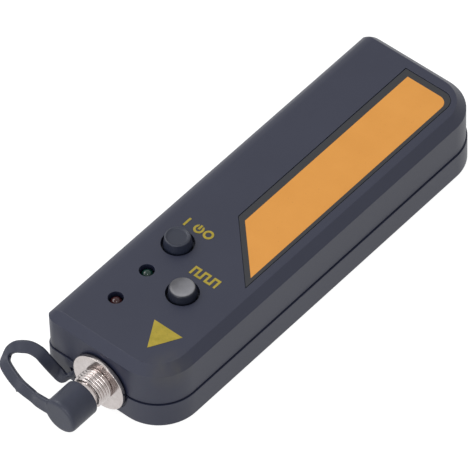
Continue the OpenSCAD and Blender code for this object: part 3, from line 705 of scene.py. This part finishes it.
def strap_ups(alongs):
    """Direction across the strap at each point of its line, evened out where it turns."""
    last = len(alongs) - 1
    ups = []
    for i, along in enumerate(alongs):
        angle = STRAP_LEAN * math.sin(math.pi * i / last)
        lean = Vector((0, math.sin(angle), math.cos(angle)))
        ups.append((lean - lean.dot(along) * along).normalized())
    first, final = STRAP_TURN
    carried = [ups[first]]
    for i in range(first + 1, final + 1):
        carried.append(alongs[i - 1].rotation_difference(alongs[i]) @ carried[-1])
    goal = -ups[final]
    twist = math.atan2(carried[-1].cross(goal).dot(alongs[final]), carried[-1].dot(goal))
    for k, up in enumerate(carried):
        part = twist * smooth_step(k / (final - first))
        ups[first + k] = Matrix.Rotation(part, 3, alongs[first + k]) @ up
    ups[final + 1:] = [-up for up in ups[final + 1:]]
    start, steps = ROOT_BLEND
    return [ROOT_UP.lerp(up, smooth_step((i - start) / steps)).normalized() for i, up in enumerate(ups)]


def inner_edge(i, last):
    """Where the strap's inner edge is at a step, as a share of half the width."""
    flare, flare_steps = CAP_FLARE
    root, root_end, root_steps = ROOT_WAIST
    turn, turn_middle, turn_steps = TURN_WAIST
    return (1 + flare * max(0, 1 - (last - i) / flare_steps)
            - root * smooth_step((root_end - i) / root_steps)
            - turn * smooth_step(1 - abs(i - turn_middle) / turn_steps))


def strap_sweep():
    """The strap: its outline carried along its line."""
    line = strap_line()
    last = len(line) - 1
    section = strap_section()
    alongs = [(line[min(last, i + 1)] - line[max(0, i - 1)]).normalized() for i in range(last + 1)]
    verts = []
    for i, (point, along, up) in enumerate(zip(line, alongs, strap_ups(alongs))):
        out = along.cross(up).normalized()
        grow = inner_edge(i, last)
        verts += [point + across * (grow if across < 0 else 1) * up + through * out
                  for across, through in section]
    sides = len(section)
    faces = [list(range(sides)), list(reversed(range(last * sides, (last + 1) * sides)))]
    for i in range(last):
        for j in range(sides):
            n = (j + 1) % sides
            faces.append((i * sides + j, (i + 1) * sides + j, (i + 1) * sides + n, i * sides + n))
    piece = new_object("strap_sweep", verts, faces)
    shade(piece, 35)
    return piece


def gate_mark():
    """Place of the small nub that the moulding leaves on the strap's outer edge."""
    line = strap_line()
    alongs = [(after - before).normalized() for before, after in zip(line, line[1:])]
    return line[GATE_STEP] + (STRAP_W / 2 + 0.05) * strap_ups(alongs)[GATE_STEP]


def rounded_block(name, low, high, matrix, cut):
    """Box with bevelled edges between two corners, moved by matrix."""
    bm = bmesh.new()
    bmesh.ops.create_cube(bm, size=1)
    low = Vector(low)
    high = Vector(high)
    for vert in bm.verts:
        vert.co = (low + high) / 2 + Vector(a * b for a, b in zip(vert.co, high - low))
    bmesh.ops.bevel(bm, geom=bm.edges[:], offset=cut, segments=3, affect="EDGES")
    bmesh.ops.transform(bm, matrix=matrix, verts=bm.verts)
    return from_bmesh(name, bm)


def fused(name, pieces):
    """One skin round overlapping closed shapes, with the steps where they meet smoothed."""
    piece = join(name, pieces)
    remesh = piece.modifiers.new("skin", "REMESH")
    remesh.mode = "VOXEL"
    remesh.voxel_size = SKIN_VOXEL
    smooth = piece.modifiers.new("smooth", "SMOOTH")
    smooth.factor = 0.5
    smooth.iterations = SKIN_PASSES
    bpy.context.view_layer.update()
    mesh = bpy.data.meshes.new_from_object(piece.evaluated_get(bpy.context.evaluated_depsgraph_get()))
    bpy.data.objects.remove(piece)
    return linked(name, mesh)


def rubber_skin():
    """Ring behind the flange, its tab, the strap and the cap, as the one moulding they are."""
    ring = lathe("ring", rounded_path([
        (THREAD_R + 0.1, -RING_T, 0.05), (ring_r, -RING_T, 0.1), (ring_r, -RING_GAP, 0.1),
        (THREAD_R + 0.1, -RING_GAP, 0.05)]), PORT_AXIS, closed=True)
    turn = PORT_AXIS @ Matrix.Rotation(-TAB_ANGLE, 4, "Z")
    half = STRAP_W / 2
    outer = (TAB_REACH, half, -RING_GAP)
    tab = rounded_block("tab", (ring_r - 1.5, -half, -RING_T), outer, turn, 0.12)
    lip = rounded_block("lip", (flange_r + 0.05, -half, -STRAP_T), outer, turn, 0.2)
    floor = nose_end - CAP_FLOOR
    cap = lathe("cap", rounded_path([
        (0, cap_end, 0), (CAP_R, cap_end, 1), (CAP_R, cap_mouth, 0.25), (CAP_BORE_R, cap_mouth, 0.15),
        (CAP_BORE_R, floor, 0.1), (0, floor, 0)]), PORT_AXIS)
    nub = lathe("nub", rounded_path([
        (0, -NUB_REACH, 0), (NUB_R, -NUB_REACH, 0.2), (NUB_R, NUB_REACH, 0.2), (0, NUB_REACH, 0)]),
        Matrix.Translation(gate_mark()), segments=16)
    return fused("rubber_skin", [ring, tab, lip, strap_sweep(), cap, nub])


def part_of(name, skin, wanted):
    """The faces of a skin that are wanted, closed across the cut, with the whole skin's
    shading kept beside it."""
    chosen = [p for p in skin.data.polygons if wanted(p.center)]
    used = sorted({v for p in chosen for v in p.vertices})
    index = {v: i for i, v in enumerate(used)}
    verts = [skin.data.vertices[v].co.copy() for v in used]
    normals = [skin.data.vertices[v].normal.copy() for v in used]
    faces = [[index[v] for v in p.vertices] for p in chosen]
    edges = {(face[k - 1], face[k]) for face in faces for k in range(len(face))}
    rim = sorted((a, b) for a, b in edges if (b, a) not in edges)
    faces += [(b, a, len(verts)) for a, b in rim]
    verts.append(sum((verts[a] for a, b in rim), Vector()) / len(rim))
    normals.append(Vector((1, 0, 0)))
    piece = new_object(name, verts, faces)
    piece.data.shade_smooth()
    piece.data.normals_split_custom_set_from_vertices(normals)
    return piece


def rubber_pieces(looks):
    """The moulding, parted across the strap's lower limb so that the cap can come off."""
    skin = rubber_skin()
    parting = -13
    lower_limb = front - 9
    cap_side = -5.5
    cap_back = front - 4

    def on_cap(point):
        on_limb = point.x > parting and point.y < lower_limb
        return on_limb or (point.x > cap_side and point.y < cap_back)

    cap = part_of("dust_cap_piece", skin, on_cap)
    strap = part_of("strap_piece", skin, lambda point: not on_cap(point))
    bpy.data.objects.remove(skin)
    for piece in (cap, strap):
        piece.data.transform(Matrix.Scale(MM, 4))
        piece.data.materials.append(looks["rubber"])
    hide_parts("dust_cap")
    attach(cap, "cap")
    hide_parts("cap_strap", "strap_ring")
    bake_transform(strap)


def seen_rays(tree):
    """1 for rays from the camera, from gloss and through glass, and 0 for others."""
    path = tree.nodes.new("ShaderNodeLightPath")
    value = path.outputs["Is Camera Ray"]
    for name in ("Is Glossy Ray", "Is Transmission Ray"):
        node = tree.nodes.new("ShaderNodeMath")
        node.operation = "MAXIMUM"
        tree.links.new(value, node.inputs[0])
        tree.links.new(path.outputs[name], node.inputs[1])
        value = node.outputs[0]
    return value


def world():
    """White surroundings: at full strength where seen or mirrored, softer as light."""
    studio = bpy.data.worlds.new("studio")
    bpy.context.scene.world = studio
    studio.use_nodes = True
    tree = studio.node_tree
    tree.nodes.clear()
    strength = tree.nodes.new("ShaderNodeMapRange")
    for socket, number in zip(strength.inputs[1:5], (0, 1, AMBIENT, 1)):
        socket.default_value = number
    tree.links.new(seen_rays(tree), strength.inputs[0])
    background = tree.nodes.new("ShaderNodeBackground")
    background.inputs["Color"].default_value = (1, 1, 1, 1)
    tree.links.new(strength.outputs[0], background.inputs["Strength"])
    output = tree.nodes.new("ShaderNodeOutputWorld")
    tree.links.new(background.outputs[0], output.inputs["Surface"])


def floor():
    """Plain pale floor under the object."""
    half = 1500
    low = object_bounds()[0].z / MM - FLOOR_GAP
    verts = [(-half, -half, low), (half, -half, low), (half, half, low), (-half, half, low)]
    piece = new_object("floor", verts, [(0, 1, 2, 3)])
    piece.data.transform(Matrix.Scale(MM, 4))
    nodes = Nodes("floor")
    diffuse = nodes.tree.nodes.new("ShaderNodeBsdfDiffuse")
    colour = nodes.mix(nodes.drift(60), (0.30, 0.30, 0.30), (0.32, 0.32, 0.32))
    nodes.link(colour, diffuse.inputs["Color"])
    glow = nodes.tree.nodes.new("ShaderNodeEmission")
    seen = seen_rays(nodes.tree)
    nodes.link(nodes.math("MULTIPLY", seen, FLOOR_GLOW), glow.inputs["Strength"])
    both = nodes.tree.nodes.new("ShaderNodeAddShader")
    nodes.link(diffuse.outputs[0], both.inputs[0])
    nodes.link(glow.outputs[0], both.inputs[1])
    nodes.link(both.outputs[0], nodes.output.inputs["Surface"])
    piece.data.materials.append(nodes.material)
    piece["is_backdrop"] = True


def lamp(name, position, size, power):
    """Soft rectangular lamp that aims at the object."""
    data = bpy.data.lights.new(name, "AREA")
    data.shape = "RECTANGLE"
    data.size, data.size_y = size
    data.energy = power
    light = linked(name, data)
    light.location = position
    light.rotation_euler = (LAMP_AIM - Vector(position)).to_track_quat("-Z", "Y").to_euler()


def main():
    bpy.context.scene.view_settings.view_transform = "Standard"
    camera()
    looks = materials()
    dress_cad_nodes(looks)
    for name, width in EDGES.items():
        soften(name, width)
    button("power_button", 0.35, -0.25, looks, "button_plastic", "power_key")
    button("mode_button", 0.7, 0.35, looks, "button_gloss", "mode_key")
    place(port_piece(), "nickel", looks, "case", "port")
    rubber_pieces(looks)
    floor()
    world()
    for name, (position, size, power) in LAMPS.items():
        lamp(name, position, size, power)


main()
